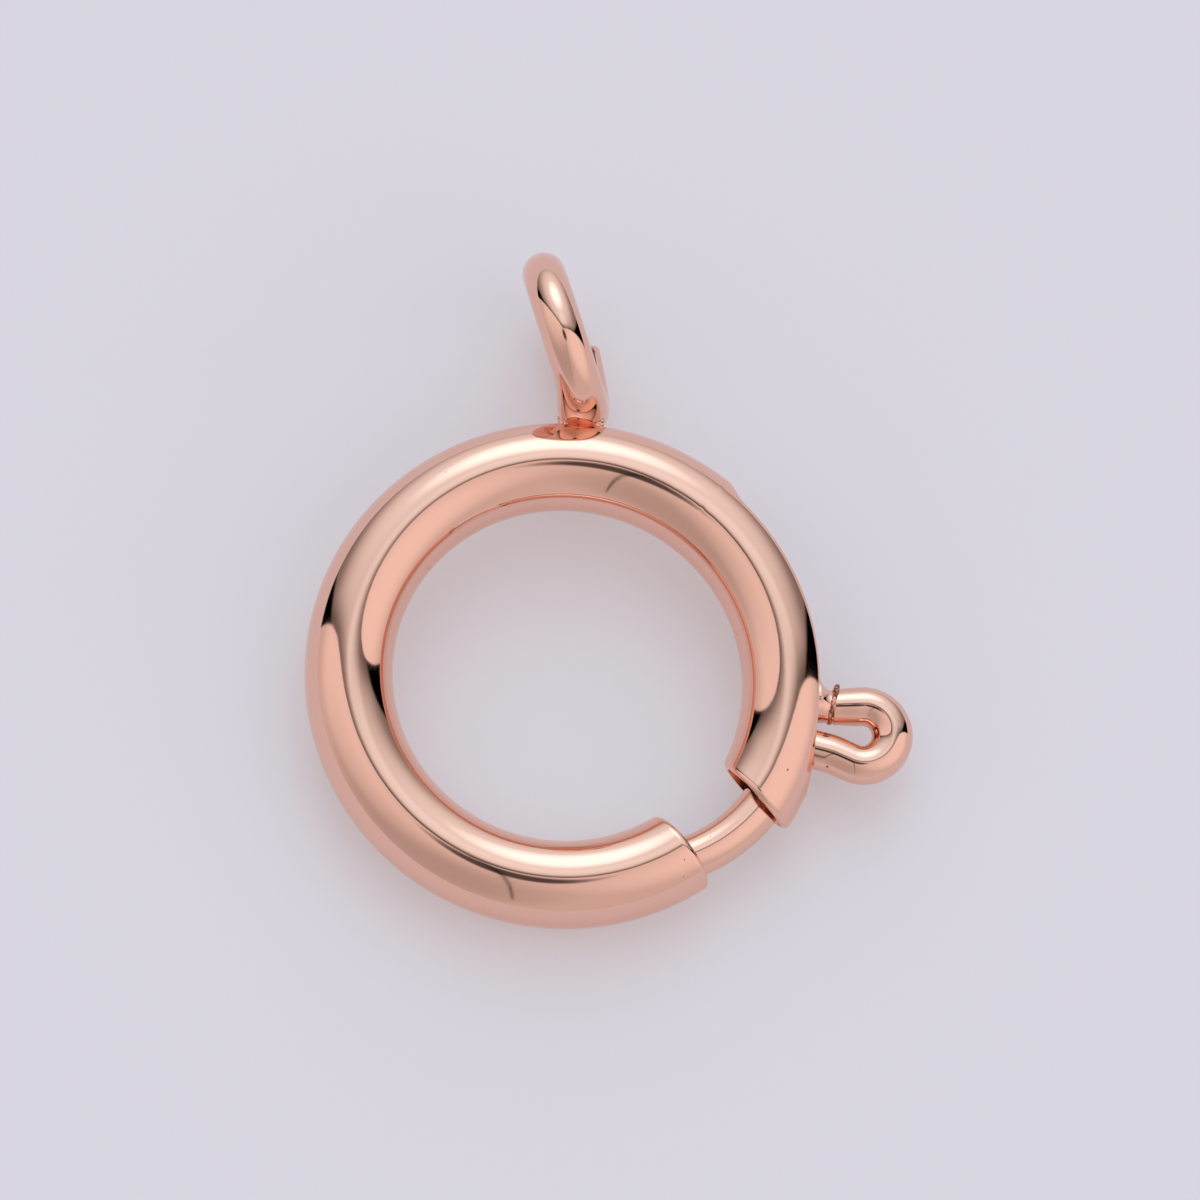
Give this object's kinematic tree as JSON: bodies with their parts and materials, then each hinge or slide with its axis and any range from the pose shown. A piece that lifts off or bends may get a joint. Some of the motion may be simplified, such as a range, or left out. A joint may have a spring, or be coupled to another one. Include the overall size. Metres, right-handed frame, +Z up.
{
  "type": "spring ring clasp",
  "caption": "Round hollow ring clasp with a sprung bolt drawn back by a wire lever, and a soldered loop for a chain's end.",
  "frame": {"origin": "on the surface that the clasp lies on, under the middle of its box", "axes": "+Z up from the surface, +Y towards the attachment loop, +X towards the lever"},
  "size_m": [0.0176, 0.02, 0.0054],
  "materials": {
    "polished_ring": "mirror-polished rose gold plate",
    "polished_bolt": "mirror-polished rose gold plate",
    "spring_wire": "drawn spring steel wire"
  },
  "bodies": {
    "ring": {"ring_tube": "polished_ring", "return_spring": "spring_wire"},
    "bolt": {"spring_bolt": "polished_bolt"}
  },
  "joints": [
    {"name": "lever_pull", "type": "hinge", "parent": "ring", "child": "bolt", "pos_m": [-0.00134, -0.0028, 0.00182], "axis": [0.0165, -0.0888, 0.9959], "range_deg": [0, 45], "stiffness_Nm_per_rad": 0.0063, "springref_deg": -1.15, "deforming": ["return_spring"]}
  ]
}
